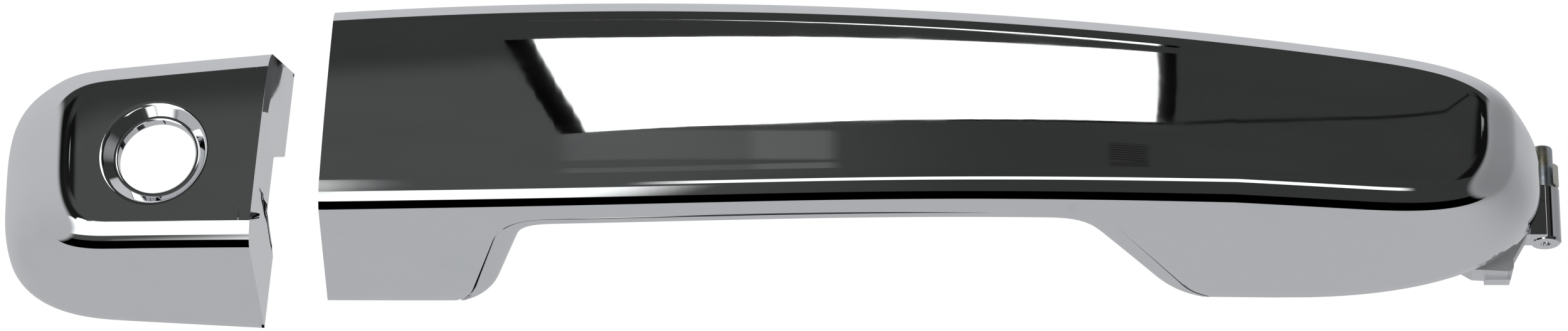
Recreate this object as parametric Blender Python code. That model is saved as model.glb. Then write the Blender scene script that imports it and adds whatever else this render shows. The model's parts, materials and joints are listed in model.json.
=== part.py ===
"""Pull-type car door handle: grip, lock cap, door frame and bell crank. Metres, +Z up.

X runs along the handle towards the front of the car, Y into the door and Z up. The origin is on the
frame's middle seat, which lies against the inner side of the door skin.
"""

import math

import bmesh
import bpy
import numpy as np
from mathutils import Matrix, Vector

# ---- driving dimensions ----------------------------------------------------------------------------

GAP = 0.0003                 # left between pieces that touch

# The grip and the cap share one bowed front face.
FACE_Y = -0.0420             # front face at the crest of its bow
BOW_X = 0.0050               # where the crest is
BOW_RADIUS = 0.800
CROWN = 0.0009               # how far the face swells between its upper and lower edges
BACK_Y = -0.0028             # back edge of both shells, just off their pads
FILLET = 0.0044              # between the front face and the walls
DRAFT = math.tan(math.radians(4.2))
SHELL_WALL = 0.0025

# Grip outline, seen from the front.
GRIP_REAR_X = -0.0774
GRIP_LEAN = 0.055            # lean of its rear end
GRIP_ROUND_X = (0.0960, 0.0840)         # where the front end starts to round off, at the face and by the door
GRIP_END_X = (0.1225, 0.1310)           # its tip, at the face and by the door
GRIP_TIP_Z = -0.0095
GRIP_ROUND_TOP = (3.4, 4.2)             # exponents of the rounding above and below the tip
GRIP_ROUND_BOTTOM = (3.4, 2.3)
GRIP_TOP = 0.0100
GRIP_TOP_FALL = 0.0072
GRIP_BOTTOM = -0.0275
GRIP_WAIST = 0.0013          # how far the lower edge rises behind the strap
GRIP_TUCK = 0.265            # how fast the lower edge rises at the face, away from TUCK_X
GRIP_TUCK_X, GRIP_TUCK_MOST = -0.0040, 0.0017
GRIP_MID_Z = -0.0090

# Strap and finger gap.
STRAP = 0.0116               # thickness from front to back
GAP_REAR_X, GAP_REAR_FOOT_X = -0.0440, -0.0505
GAP_FRONT_X, GAP_FRONT_FOOT_X = 0.0500, 0.0672
BACK_SHELL = 0.0034

# Lock cap outline.
CAP_FRONT_X = (-0.0886, -0.0877)        # its flat end, at the face and by the door
CAP_LEAN = 0.080
CAP_ROUND_X = (-0.1130, -0.1130)
CAP_END_X = (-0.1254, -0.1343)
CAP_ROUND_TOP = (3.4, 4.0)
CAP_ROUND_BOTTOM = (3.0, 2.7)
CAP_MID_Z = -0.0155
CAP_HALF = 0.0172
CAP_FLARE = 0.045
CAP_RISE = math.tan(math.radians(18.0))  # slope of its upper wall
GRIP_BULGE = 1.7
CAP_BULGE = 2.4              # how early its rounded end reaches its full length on the way to the door
CAP_WALL = 0.0024
KEY_X, KEY_Z = -0.1064, -0.0162
KEY_RADIUS = 0.0067
KEY_RIM_RADIUS = 0.0092
KEY_RIM_DEPTH = 0.0034
KEY_LIP_DEPTH = 0.0065
NOTCH = [(-0.0195, -0.0104), (0.0050, 0.0003), (0.0050, -0.0214), (-0.0195, -0.0206)]

# Hinge, pull arm and bell crank.
PIVOT = Vector((0.1326, 0.0060, 0.0))
PIN_RADIUS = 0.0019
SLEEVE_RADIUS = 0.0028
PIN_TOP, PIN_SHOULDER, PIN_BOTTOM = 0.0024, -0.0059, -0.0158
ARM_X = -0.0670
ARM_Z = (-0.0112, -0.0062)
HOOK_Y = 0.0315
HOOK_PLAY = 0.0005
CRANK_ARM = 0.0280
CRANK_HALF_ANGLE = math.radians(27.3)
SHOE_RADIUS = 0.0025
CRANK_Y = HOOK_Y - HOOK_PLAY - SHOE_RADIUS - CRANK_ARM * math.sin(CRANK_HALF_ANGLE)
CRANK_Z = CRANK_ARM * math.cos(CRANK_HALF_ANGLE)
AXLE_RADIUS = 0.0020

# Frame and pads.
PLATE = (0.0003, 0.0033)     # front and back of the frame's plate
PAD_Y = (-0.0025, -0.0010)
RAIL_HALF = 0.0060
TONGUE_Y = 0.0112            # front of the tongue that carries the pivot clip
CLIP_RADIUS = 0.0028
CLIP_Z = (-0.0050, -0.0014)   # height of the clip and its tongue

# ---- helpers ---------------------------------------------------------------------------------------

for old in list(bpy.data.objects):
    bpy.data.objects.remove(old)

PARTS = bpy.data.collections.new("car_door_handle")
CUTTERS = bpy.data.collections.new("cutters")
bpy.context.scene.collection.children.link(PARTS)
bpy.context.scene.collection.children.link(CUTTERS)


def material(name, colour, roughness, metallic):
    made = bpy.data.materials.new(name)
    made.use_nodes = True
    shader = made.node_tree.nodes["Principled BSDF"]
    shader.inputs["Base Color"].default_value = (*colour, 1.0)
    shader.inputs["Roughness"].default_value = roughness
    shader.inputs["Metallic"].default_value = metallic
    return made


CHROME = material("chrome_plate", (0.86, 0.87, 0.88), 0.04, 1.0)
NYLON = material("black_nylon", (0.020, 0.020, 0.022), 0.50, 0.0)
RUBBER = material("black_rubber", (0.015, 0.015, 0.015), 0.85, 0.0)
STEEL = material("zinc_plated_steel", (0.62, 0.63, 0.60), 0.30, 1.0)
SPRING_STEEL = material("spring_steel", (0.42, 0.41, 0.40), 0.30, 1.0)
ACETAL = material("natural_acetal", (0.86, 0.85, 0.80), 0.40, 0.0)
ZINC = material("cast_zinc", (0.48, 0.48, 0.50), 0.45, 1.0)


def new_object(name, mesh, finish=None):
    made = bpy.data.objects.new(name, mesh)
    (PARTS if finish else CUTTERS).objects.link(made)
    if finish:
        mesh.materials.append(finish.copy())
        mesh.materials[0].name = name + "_" + finish.name
        mesh.shade_smooth()
        mesh.set_sharp_from_angle(angle=math.radians(35))
    else:
        made.hide_render = True
        made.display_type = "WIRE"
    return made


def from_bmesh(name, bm, finish):
    mesh = bpy.data.meshes.new(name)
    bmesh.ops.recalc_face_normals(bm, faces=bm.faces)
    if bm.calc_volume(signed=True) < 0:
        bmesh.ops.reverse_faces(bm, faces=bm.faces)
    bm.to_mesh(mesh)
    bm.free()
    return new_object(name, mesh, finish)


def box(name, x, y, z, finish=None, edge=0.0):
    """A block between two values on each axis, with its edges rounded by `edge`."""
    bm = bmesh.new()
    bmesh.ops.create_cube(bm, size=1.0)
    size = Vector((x[1] - x[0], y[1] - y[0], z[1] - z[0]))
    centre = Vector((x[1] + x[0], y[1] + y[0], z[1] + z[0])) / 2
    bmesh.ops.scale(bm, vec=size, verts=bm.verts)
    bmesh.ops.translate(bm, vec=centre, verts=bm.verts)
    if edge:
        bmesh.ops.bevel(bm, geom=bm.edges, offset=edge, segments=2, profile=0.5, affect="EDGES")
    return from_bmesh(name, bm, finish)


def turned(name, centre, axis, profile, finish=None, steps=24):
    """A turned solid: `profile` lists (distance along the axis, radius) from one end to the other."""
    towards = Vector(axis).normalized()
    bm = bmesh.new()
    along_x = towards.to_track_quat("Z", "Y").to_matrix().to_4x4()
    place = Matrix.Translation(centre) @ along_x
    rings = []
    for distance, radius in profile:
        turns = [math.tau * k / steps for k in range(steps)]
        ring = [(radius * math.cos(a), radius * math.sin(a), distance) for a in turns]
        rings.append([bm.verts.new(place @ Vector(point)) for point in ring])
    for lower, upper in zip(rings, rings[1:]):
        for k in range(steps):
            n = (k + 1) % steps
            bm.faces.new((lower[k], lower[n], upper[n], upper[k]))
    bm.faces.new(rings[0])
    bm.faces.new(rings[-1])
    return from_bmesh(name, bm, finish)


def rounded(corners, steps=6):
    """A closed outline through corners (a, b, radius), each turned into an arc of its radius."""
    points = []
    count = len(corners)
    for k, (a, b, radius) in enumerate(corners):
        here = Vector((a, b))
        if not radius:
            points.append(here)
            continue
        before = (Vector(corners[k - 1][:2]) - here).normalized()
        after = (Vector(corners[(k + 1) % count][:2]) - here).normalized()
        half = before.angle(after) / 2
        centre = here + (before + after).normalized() * radius / math.sin(half)
        start = here + before * radius / math.tan(half) - centre
        finish = here + after * radius / math.tan(half) - centre
        sweep = start.angle_signed(finish)
        for step in range(steps + 1):
            turn = Matrix.Rotation(-sweep * step / steps, 2)
            points.append(centre + turn @ start)
    return points


PLANES = {
    "XY": Matrix.Identity(4),
    "XZ": Matrix(((1, 0, 0, 0), (0, 0, 1, 0), (0, 1, 0, 0), (0, 0, 0, 1))),
    "YZ": Matrix(((0, 0, 1, 0), (1, 0, 0, 0), (0, 1, 0, 0), (0, 0, 0, 1))),
}


def plate(name, outline, plane, span, finish=None, holes=()):
    """A flat outline in a plane, filled as a 2D curve and extruded between the two values of `span`."""
    curve = bpy.data.curves.new(name, "CURVE")
    curve.dimensions = "2D"
    curve.fill_mode = "BOTH"
    curve.extrude = abs(span[1] - span[0]) / 2
    for loop in (outline, *holes):
        spline = curve.splines.new("POLY")
        spline.points.add(len(loop) - 1)
        for point, (a, b) in zip(spline.points, loop):
            point.co = (a, b, 0.0, 1.0)
        spline.use_cyclic_u = True
    flat = bpy.data.objects.new(name + "_outline", curve)
    CUTTERS.objects.link(flat)
    graph = bpy.context.evaluated_depsgraph_get()
    mesh = bpy.data.meshes.new_from_object(flat.evaluated_get(graph))
    bpy.data.objects.remove(flat)
    bm = bmesh.new()
    bm.from_mesh(mesh)
    bmesh.ops.remove_doubles(bm, verts=bm.verts, dist=1e-6)
    bmesh.ops.translate(bm, vec=(0, 0, (span[0] + span[1]) / 2), verts=bm.verts)
    bm.transform(PLANES[plane])
    return from_bmesh(name, bm, finish)


def tube(name, points, radius, finish):
    """A round wire along a list of points, made of a curve with a bevel."""
    curve = bpy.data.curves.new(name, "CURVE")
    curve.dimensions = "3D"
    curve.bevel_depth = radius
    curve.bevel_resolution = 1
    curve.use_fill_caps = True
    spline = curve.splines.new("POLY")
    spline.points.add(len(points) - 1)
    for point, place in zip(spline.points, points):
        point.co = (*place, 1.0)
    wire = bpy.data.objects.new(name + "_path", curve)
    CUTTERS.objects.link(wire)
    graph = bpy.context.evaluated_depsgraph_get()
    mesh = bpy.data.meshes.new_from_object(wire.evaluated_get(graph))
    bpy.data.objects.remove(wire)
    bm = bmesh.new()
    bm.from_mesh(mesh)
    bmesh.ops.remove_doubles(bm, verts=bm.verts, dist=1e-6)
    return from_bmesh(name, bm, finish)


def combine(target, other, operation):
    step = target.modifiers.new(operation.lower() + "_" + other.name, "BOOLEAN")
    step.operation = operation
    step.solver = "EXACT"
    step.object = other


def cut(target, *others):
    for other in others:
        combine(target, other, "DIFFERENCE")


def join(target, *others):
    for other in others:
        combine(target, other, "UNION")


# ---- shells: one lofted form for the grip and one for the cap ---------------------------------------


def face_y(x):
    """The bow of the front face, a shallow arc seen from above."""
    return FACE_Y + (x - BOW_X) ** 2 / (2 * BOW_RADIUS)


def grip_edges(x, share):
    """Heights of the grip's lower and upper edge, where `share` runs from the face to the door."""
    waist = GRIP_WAIST * math.exp(-((x - 0.030) / 0.060) ** 2)
    tuck = min(GRIP_TUCK * (x - GRIP_TUCK_X) ** 2, GRIP_TUCK_MOST) * (1 - share)
    return GRIP_BOTTOM + waist + tuck, GRIP_TOP - GRIP_TOP_FALL * ((x + 0.050) / 0.150) ** 2


def cap_edges(x, share):
    """Heights of the cap's lower and upper edge, which spread towards the grip at every share."""
    half = CAP_HALF + CAP_FLARE * (x - mixed(CAP_FRONT_X, share))
    return CAP_MID_Z - half, CAP_MID_Z + half


GRIP_FORM = {
    "edges": grip_edges, "flat_x": (GRIP_REAR_X, GRIP_REAR_X), "lean": GRIP_LEAN, "mid_z": GRIP_MID_Z,
    "round_x": GRIP_ROUND_X, "end_x": GRIP_END_X, "tip_z": GRIP_TIP_Z,
    "top": GRIP_ROUND_TOP, "bottom": GRIP_ROUND_BOTTOM, "stations": 14,
    "bulge": GRIP_BULGE, "rise": DRAFT,
}
CAP_FORM = {
    "edges": cap_edges, "flat_x": CAP_FRONT_X, "lean": CAP_LEAN, "mid_z": CAP_MID_Z,
    "round_x": CAP_ROUND_X, "end_x": CAP_END_X, "tip_z": CAP_MID_Z,
    "top": CAP_ROUND_TOP, "bottom": CAP_ROUND_BOTTOM, "stations": 4,
    "bulge": CAP_BULGE, "rise": CAP_RISE,
}
END_STEPS = 8
CLOSING = 0.6                           # crowds the columns of a rounded end towards its tip
LEAN_REACH = 0.030                      # a flat end's lean fades out over this length
FILLET_STEPS = 4
WALL_SHARES = (0.72, 0.42, 0.18)        # rings between the door and the rounded edge
FACE_ROWS = (0.25, 0.5, 0.75)


def mixed(pair, share):
    return pair[0] + (pair[1] - pair[0]) * share


def form_ring(form, wall, inset, y_of):
    """Rows of lower and upper points from the flat end to the rounded tip, at the depth y_of(x).

    The flat end moves in by the wall and the rest by the inset. Past round_x the two edges close on the
    tip as superellipses, and every size runs from its value at the face to its value by the door.
    """
    side = 1 if form["end_x"][0] > form["flat_x"][0] else -1
    face = face_y(form["end_x"][0])
    share = max(0.0, (y_of(form["end_x"][0]) - face) / (BACK_Y - face))
    flat_x = mixed(form["flat_x"], share) + side * wall
    tip_x = mixed(form["end_x"], 1 - max(0.0, 1 - share) ** form["bulge"]) - side * inset
    round_x = mixed(form["round_x"], share)
    top, bottom = mixed(form["top"], share), mixed(form["bottom"], share)
    along = [flat_x + (round_x - flat_x) * k / form["stations"] for k in range(form["stations"])]
    turns = [math.pi / 2 * k / END_STEPS for k in range(END_STEPS + 1)]
    closing = [min(math.sin(turn) ** CLOSING, 1.0) for turn in turns]
    rows = []
    for x, u in [(x, 0.0) for x in along] + [(round_x + (tip_x - round_x) * u, u) for u in closing]:
        low, high = form["edges"](x, share)
        depth = y_of(x) - face_y(x)
        low -= DRAFT * depth - inset + form["tip_z"]
        high += form["rise"] * depth - inset - form["tip_z"]
        low = form["tip_z"] + low * (1 - u ** bottom) ** (1 / bottom)
        high = form["tip_z"] + high * (1 - u ** top) ** (1 / top)
        lean = form["lean"] * max(0.0, 1 - abs(x - flat_x) / LEAN_REACH)
        rows.append([Vector((x + lean * (z - form["mid_z"]), y_of(x), z)) for z in (low, high)])
    return rows


def form_solid(name, form, inset, back_y, finish=None):
    """The closed form: walls from back_y to the face, a rounded edge, and the crowned face between."""
    radius = FILLET - inset
    rings = [form_ring(form, inset, inset, lambda x: back_y)]
    for share in WALL_SHARES:
        rings.append(form_ring(form, inset, inset, lambda x, s=share: mixed((face_y(x) + FILLET, BACK_Y), s)))
    for k in range(FILLET_STEPS + 1):
        turn = math.pi / 2 * k / FILLET_STEPS
        drop = radius * (1 - math.sin(turn))
        edge = inset + radius * (1 - math.cos(turn))
        rings.append(form_ring(form, inset, edge, lambda x, d=drop: face_y(x) + inset + d))
    bm = bmesh.new()
    lows = [[bm.verts.new(pair[0]) for pair in ring] for ring in rings]
    highs = [[bm.verts.new(pair[1]) for pair in ring[:-1]] + [low[-1]] for ring, low in zip(rings, lows)]
    last = len(lows[0]) - 1
    for edge in (lows, highs):
        for outer, inner in zip(edge, edge[1:]):
            for k in range(last):
                bm.faces.new((outer[k], outer[k + 1], inner[k + 1], inner[k]))
    columns = []
    for k in range(last):
        low, high = lows[-1][k], highs[-1][k]
        column = [low]
        for share in FACE_ROWS:
            swell = Vector((0, -CROWN * 4 * share * (1 - share), 0))
            column.append(bm.verts.new(low.co.lerp(high.co, share) + swell))
        columns.append(column + [high])
    for left, right in zip(columns, columns[1:]):
        for k in range(len(left) - 1):
            bm.faces.new((left[k], left[k + 1], right[k + 1], right[k]))
    tip = lows[-1][-1]
    for lower, upper in zip(columns[-1], columns[-1][1:]):
        bm.faces.new((lower, upper, tip))
    flat_end = [ring[0] for ring in lows] + columns[0][1:-1] + [ring[0] for ring in reversed(highs)]
    bm.faces.new(flat_end)
    for k in range(last - 1):
        bm.faces.new((lows[0][k], lows[0][k + 1], highs[0][k + 1], highs[0][k]))
    bm.faces.new((lows[0][last - 1], lows[0][last], highs[0][last - 1]))
    bmesh.ops.triangulate(bm, faces=[face for face in bm.faces if len(face.verts) > 4])
    return from_bmesh(name, bm, finish)


def finger_gap(grow):
    """Plan outline of the finger gap, its walls moved into the legs and the strap by `grow`."""
    door_y = BACK_Y + 0.0005
    beyond = 0.0100
    rear_top = face_y(GAP_REAR_X) + STRAP
    front_top = face_y(GAP_FRONT_X) + STRAP
    strap = [(x, face_y(x) + STRAP - grow, 0.0) for x in np.linspace(-0.034, 0.036, 8)]
    return rounded([
        (-0.0680, beyond, 0.0),
        (-0.0680, door_y, 0.0),
        (GAP_REAR_FOOT_X - grow, door_y, 0.0080 - grow),
        (GAP_REAR_X - grow, rear_top - grow, 0.0045 + grow),
        *strap,
        (GAP_FRONT_X + grow, front_top - grow, 0.0090 + grow),
        (GAP_FRONT_FOOT_X + 1.2 * grow, door_y, 0.0120 - grow),
        (0.0900, door_y, 0.0),
        (0.0900, beyond, 0.0),
    ])


TALL = (-0.060, 0.050)       # cutters run past the object between these heights

# ---- grip ------------------------------------------------------------------------------------------

SCREW_PLACES = {
    "grip_screw_rear_upper": (-0.0670, 0.0010),
    "grip_screw_rear_lower": (-0.0670, -0.0190),
    "grip_screw_front_upper": (0.0920, -0.0050),
    "grip_screw_front_lower": (0.0920, -0.0188),
}
BASE_Y = (-0.0290, -0.0260)  # the arms' base plates inside the legs
BOSS_RADIUS = 0.0032
HOLE_RADIUS = 0.0016
HOLE_START = 0.0030          # solid length left at the front end of a boss
PASS_RADIUS = 0.0018         # clearance hole for the same screw


def make_outer_shell():
    shell = form_solid("grip_outer_shell", GRIP_FORM, 0.0, BACK_Y, CHROME)
    hollow = form_solid("grip_hollow", GRIP_FORM, SHELL_WALL, 0.010)
    cut(shell, hollow)
    cut(shell, plate("grip_gap_wide", finger_gap(BACK_SHELL + GAP), "XY", TALL))
    for name, (x, z) in SCREW_PLACES.items():
        front = face_y(x) + SHELL_WALL - 0.0012
        length = BASE_Y[0] - GAP - front
        boss = turned(name + "_boss", (x, front, z), (0, 1, 0), [(0, BOSS_RADIUS), (length, BOSS_RADIUS)])
        hole = turned(name + "_hole", (x, front + HOLE_START, z), (0, 1, 0),
                      [(0, HOLE_RADIUS), (0.020, HOLE_RADIUS)])
        join(shell, boss)
        cut(shell, hole)
    return shell


def make_back_shell():
    shell = form_solid("grip_back_shell", GRIP_FORM, 0.0, BACK_Y, CHROME)
    combine(shell, plate("grip_gap_band", finger_gap(BACK_SHELL), "XY", TALL), "INTERSECT")
    cut(shell, plate("grip_gap_clear", finger_gap(0.0), "XY", TALL))
    return shell


def make_stiffener():
    """A bowed bar that fills the strap between its two shells, notched to save weight."""
    front, back = SHELL_WALL + 0.0011, STRAP - BACK_SHELL - GAP - 0.0001
    xs = np.linspace(-0.044, 0.056, 12)
    outline = [(x, face_y(x) + front) for x in xs] + [(x, face_y(x) + back) for x in reversed(xs)]
    bar = plate("grip_stiffener", outline, "XY", (-0.0215, 0.0035), NYLON)
    for k in range(5):
        x = -0.032 + 0.018 * k
        cut(bar, box(f"stiffener_slot_{k}", (x, x + 0.010), (-0.060, 0.0), (-0.0165, -0.0015)))
    return bar


def make_screw(name, x, z):
    """A pan-head screw with a cross recess, driven from behind through an arm's base plate."""
    seat = BASE_Y[1] + GAP
    shank = HOLE_RADIUS - GAP
    screw = turned(name, (x, seat, z), (0, -1, 0), [
        (-0.0017, 0.0018), (-0.0011, 0.0026), (0, 0.0026), (0, shank), (0.0055, shank), (0.0062, 0.0008)],
        STEEL, steps=16)
    for kind, half_x, half_z in (("wide", 0.0014, 0.0003), ("tall", 0.0003, 0.0014)):
        cut(screw, box(f"{name}_{kind}", (x - half_x, x + half_x), (seat + 0.0009, seat + 0.0030),
                       (z - half_z, z + half_z)))
    return screw


def pass_hole(name):
    """A clearance hole for a grip screw through an arm's base plate."""
    x, z = SCREW_PLACES[name]
    through = [(0, PASS_RADIUS), (0.007, PASS_RADIUS)]
    return turned(name + "_pass", (x, BASE_Y[0] - 0.002, z), (0, 1, 0), through)


def make_pull_arm():
    """A base plate in the rear leg, an arm through the door and a hook that pulls the bell crank."""
    arm = box("pull_arm", (-0.0725, -0.0615), BASE_Y, (-0.0228, 0.0048), NYLON)
    wide = (ARM_X - 0.003, ARM_X + 0.003)
    bar = box("pull_arm_bar", wide, (BASE_Y[1] - 0.001, HOOK_Y + 0.003), ARM_Z)
    hook = box("pull_arm_hook", wide, (HOOK_Y, HOOK_Y + 0.003), (ARM_Z[0], 0.0002))
    wings = box("pull_arm_wings", (-0.0765, -0.0575), (HOOK_Y + 0.0008, HOOK_Y + 0.003), (ARM_Z[0], -0.0075))
    join(arm, bar, hook, wings)
    cut(arm, pass_hole("grip_screw_rear_upper"), pass_hole("grip_screw_rear_lower"))
    return arm


def make_hinge_arm():
    """A base plate in the front leg, an arm through the door and a sleeve pressed on the hinge pin."""
    arm = box("hinge_arm", (0.0860, 0.1080), BASE_Y, (-0.0220, -0.0015), CHROME)
    bar = box("hinge_arm_bar", (0.1010, 0.1060), (BASE_Y[1] - 0.001, 0.0075), (-0.0185, -0.0085))
    web_outline = rounded([
        (0.1015, -0.0085, 0.0010), (0.1015, -0.0185, 0.0010), (0.1160, -0.0200, 0.0),
        (0.1195, -0.0222, 0.0010), (0.1266, -0.0226, 0.0010), (0.1264, -0.0203, 0.0),
        (0.1290, -0.0156, 0.0), (0.1325, -0.0156, 0.0), (0.1325, -0.0062, 0.0),
        (0.1290, -0.0062, 0.0)], 3)
    web = plate("hinge_arm_web", web_outline, "XZ", (0.0022, 0.0071))
    length = PIN_SHOULDER - PIN_BOTTOM
    sleeve = turned("hinge_arm_sleeve", (PIVOT.x, PIVOT.y, PIN_BOTTOM), (0, 0, 1),
                    [(0, SLEEVE_RADIUS - 0.0004), (0.0004, SLEEVE_RADIUS), (length, SLEEVE_RADIUS)])
    rib = box("hinge_arm_rib", (0.1216, 0.1260), (0.0042, 0.0066), (-0.0233, -0.0215))
    join(arm, bar, web, sleeve, rib)
    bore = turned("hinge_arm_bore", (PIVOT.x, PIVOT.y, PIN_BOTTOM + 0.0012), (0, 0, 1),
                  [(0, 0.0016), (0.020, 0.0016)])
    dimple = turned("hinge_arm_dimple", (PIVOT.x, PIVOT.y, PIN_BOTTOM - 0.001), (0, 0, 1),
                    [(0, 0.0009), (0.0016, 0.0009)], steps=12)
    cut(arm, bore, dimple)
    cut(arm, pass_hole("grip_screw_front_upper"), pass_hole("grip_screw_front_lower"))
    return arm


def make_hinge_pin():
    """A stepped pin: its thin end stands in the arm's sleeve and its thick end turns in the clip."""
    stem, chamfer = 0.0013, 0.0004
    start = PIN_BOTTOM + 0.0016
    shoulder, top = PIN_SHOULDER + GAP - start, PIN_TOP - start
    return turned("hinge_pin", (PIVOT.x, PIVOT.y, start), (0, 0, 1), [
        (0, stem), (shoulder, stem), (shoulder, PIN_RADIUS), (top - chamfer, PIN_RADIUS),
        (top, PIN_RADIUS - chamfer)], STEEL)


# ---- lock cap --------------------------------------------------------------------------------------

CAP_SCREW = (-0.1140, -0.0240)
CARRIER_Z = (-0.0277, -0.0257)


def make_lock_cap():
    cap = form_solid("lock_cap", CAP_FORM, 0.0, BACK_Y, CHROME)
    cut(cap, form_solid("cap_hollow", CAP_FORM, CAP_WALL, 0.010))
    front = face_y(KEY_X) - CROWN
    towards = Vector(((KEY_X - BOW_X) / BOW_RADIUS, -1.0, 0.0)).normalized() * -1
    place = (KEY_X, front, KEY_Z)
    around = KEY_RADIUS + 0.0012
    collar = turned("key_collar", place, towards, [(0.0015, around), (KEY_LIP_DEPTH, around)], steps=32)
    join(cap, collar)
    opening = turned("key_opening", place, towards, [
        (-0.002, KEY_RIM_RADIUS), (0.0008, KEY_RIM_RADIUS - 0.0003), (KEY_RIM_DEPTH, KEY_RADIUS),
        (0.0200, KEY_RADIUS)], steps=32)
    notch = plate("cap_end_notch", NOTCH, "YZ", (CAP_FRONT_X[0] - 0.0040, CAP_FRONT_X[1] + 0.0060))
    cut(cap, opening, notch)
    x, y = CAP_SCREW
    join(cap, turned("cap_boss", (x, y, -0.0315), (0, 0, 1), [(0, 0.0028), (0.0035, 0.0028)]))
    cut(cap, turned("cap_boss_hole", (x, y, -0.0308), (0, 0, 1), [(0, HOLE_RADIUS), (0.010, HOLE_RADIUS)]))
    return cap


def make_cap_carrier():
    """A bracket along the cap's lower wall with two tongues that pass through the door skin."""
    low, high = CARRIER_Z
    carrier = box("cap_carrier", (-0.1180, -0.0930), (-0.0285, -0.0035), CARRIER_Z, NYLON)
    for k, x in enumerate((-0.1175, -0.0985)):
        tongue = box(f"cap_tongue_{k}", (x, x + 0.0050), (-0.0200, 0.0070), (low + 0.0002, high + 0.0010))
        catch = box(f"cap_catch_{k}", (x, x + 0.0050), (0.0040, 0.0070), (high, high + 0.0030))
        join(carrier, tongue, catch)
    through = [(0, PASS_RADIUS), (0.020, PASS_RADIUS)]
    cut(carrier, turned("cap_carrier_hole", (*CAP_SCREW, -0.034), (0, 0, 1), through))
    return carrier


def make_cap_screw():
    shank = HOLE_RADIUS - GAP
    return turned("cap_screw", (*CAP_SCREW, CARRIER_Z[1] + GAP), (0, 0, -1), [
        (-0.0016, 0.0018), (-0.0011, 0.0026), (0, 0.0026), (0, shank), (0.0040, shank), (0.0045, 0.0008)],
        STEEL, steps=16)


def make_latch_spring():
    """A flat spring in the notch of the cap's end wall, with a raised tongue."""
    blade = box("cap_latch_spring", (-0.0930, -0.0924), (-0.0300, -0.0150), (-0.0240, -0.0110),
                SPRING_STEEL)
    tongue = box("cap_latch_tongue", (-0.0926, -0.0884), (-0.0188, -0.0160), (-0.0201, -0.0135))
    join(blade, tongue)
    return blade


# ---- frame, pads and bell crank --------------------------------------------------------------------

REAR_WINDOW = ((-0.0735, -0.0600), (-0.0175, 0.0070))
FRONT_WINDOW = ((0.0980, 0.1500), (-0.0260, -0.0058))
EARS = ((-0.0785, -0.0755), (-0.0612, -0.0582))


def make_frame():
    plate_outline = rounded([
        (-0.0785, -0.0215, 0.0040), (-0.0540, -0.0215, 0.0060), (-0.0420, -RAIL_HALF, 0.0040),
        (0.0720, -RAIL_HALF, 0.0060), (0.0840, -0.0235, 0.0040), (0.1130, -0.0235, 0.0040),
        (0.1160, -0.0090, 0.0030), (0.1220, -0.0045, 0.0), (0.1220, 0.0020, 0.0020), (0.1050, 0.0040, 0.0040),
        (0.0860, RAIL_HALF, 0.0060), (-0.0440, RAIL_HALF, 0.0060), (-0.0540, 0.0215, 0.0040),
        (-0.0785, 0.0215, 0.0040)], 4)
    frame = plate("frame", plate_outline, "XZ", PLATE, NYLON)
    middle = box("frame_middle_seat", (-0.0150, 0.0150), (0.0, 0.0010), (-0.0045, 0.0045))
    join(frame, middle)
    spine = box("frame_spine", (-0.0480, 0.0960), (PLATE[1] - 0.001, 0.0080), (-0.0015, 0.0015))
    join(frame, spine)
    for k, ear in enumerate(EARS):
        side = plate(f"frame_ear_{k}", rounded([
            (0.0025, 0.0085, 0.0), (0.0025, 0.0205, 0.0), (0.0110, 0.0292, 0.0030), (0.0206, 0.0292, 0.0040),
            (0.0206, 0.0205, 0.0040), (0.0120, 0.0110, 0.0030)], 4), "YZ", ear)
        join(frame, side)
    tongue = plate("frame_pivot_tongue", rounded([
        (0.1150, 0.0025, 0.0), (0.1215, 0.0025, 0.0), (0.1215, TONGUE_Y, 0.0015), (0.1342, TONGUE_Y, 0.0010),
        (0.1342, TONGUE_Y + 0.0026, 0.0010), (0.1190, TONGUE_Y + 0.0026, 0.0020),
        (0.1150, 0.0090, 0.0010)], 3), "XY", CLIP_Z)
    join(frame, tongue)
    for k, (x, z) in enumerate((REAR_WINDOW, FRONT_WINDOW)):
        cut(frame, box(f"frame_window_{k}", x, (-0.010, 0.0145), z))
    axle_y = Vector((0, CRANK_Y, CRANK_Z))
    cut(frame, turned("frame_axle_hole", (-0.090, axle_y.y, axle_y.z), (1, 0, 0),
                      [(0, AXLE_RADIUS + GAP), (0.040, AXLE_RADIUS + GAP)]))
    for name, (x, z) in MOUNT_SCREWS.items():
        cut(frame, turned(name + "_pass", (x, -0.005, z), (0, 1, 0), [(0, 0.0026), (0.030, 0.0026)]))
    return frame


MOUNT_SCREWS = {"rear_mount_screw": (-0.0480, 0.0105), "front_mount_screw": (0.0790, -0.0125)}


def make_mount_screw(name, x, z):
    """A hexagon-headed screw that comes from inside the door and clamps the frame to the skin."""
    head = [(-0.0046, 0.0038), (-0.0040, 0.0044), (0.0, 0.0044)]
    screw = turned(name, (x, PLATE[1] + GAP + 0.0005, z), (0, -1, 0), head, STEEL, steps=6)
    flange = turned(name + "_flange", (x, PLATE[1] + GAP, z), (0, 1, 0), [(0, 0.0054), (0.0010, 0.0050)])
    shank = turned(name + "_shank", (x, PLATE[1] + 0.001, z), (0, -1, 0),
                   [(0, 0.0022), (0.0042, 0.0022), (0.0048, 0.0017)])
    join(screw, flange, shank)
    return screw


def crank_point(reach, degrees):
    turn = math.radians(degrees)
    return CRANK_Y + reach * math.cos(turn), CRANK_Z + reach * math.sin(turn)


def bar_outline(start, end, half):
    """Four corners of a bar of half width `half` between two points."""
    a, b = Vector(start), Vector(end)
    across = Vector((-(b - a).y, (b - a).x)).normalized() * half
    return [tuple(a + across), tuple(a - across), tuple(b - across), tuple(b + across)]


SHOE_DEGREES = -90 + math.degrees(CRANK_HALF_ANGLE)
ROD_DEGREES = 22.0
ROD_REACH = 0.0180
HUB_RADIUS = 0.0040


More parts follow.
